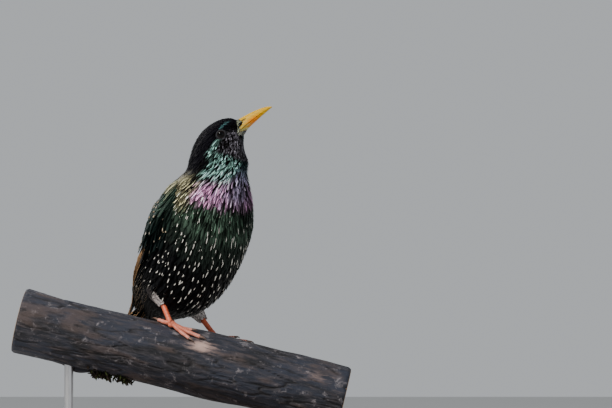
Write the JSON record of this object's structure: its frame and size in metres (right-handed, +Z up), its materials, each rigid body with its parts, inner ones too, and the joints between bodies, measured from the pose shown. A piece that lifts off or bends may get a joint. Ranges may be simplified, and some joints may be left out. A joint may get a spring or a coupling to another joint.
{
  "type": "starling on a branch, still model on a display stand",
  "caption": "Life-size still model of a starling standing alert on a cut length of branch, held by two short rods on a flat base.",
  "frame": {"origin": "centre of the underside of the display base", "axes": "+Z up; the camera of the picture looks along +Y with +X to its right; the bird heads towards +X and 52 degrees towards the camera, with its bill nearly along +X"},
  "size_m": [0.2259, 0.1376, 0.2517],
  "materials": {
    "plumage": "glossy feather, iridescent",
    "wing_feathers": "satin feather",
    "bill_horn": "satin horn",
    "eye_dark": "wet gloss",
    "leg_scales": "scaly skin",
    "bark": "weathered bark",
    "base_wood": "oiled",
    "rod_steel": "brushed"
  },
  "bodies": {
    "root": {"torso": "plumage", "neck": "plumage", "head": "plumage", "bill_upper": "bill_horn", "bill_lower": "bill_horn", "eye_left": "eye_dark", "eye_right": "eye_dark", "wing_left": "wing_feathers", "wing_right": "wing_feathers", "tail": "wing_feathers", "foot_left": "leg_scales", "foot_right": "leg_scales", "perch": "bark", "stand_base": "base_wood", "stand_rod_left": "rod_steel", "stand_rod_right": "rod_steel"}
  },
  "joints": []
}
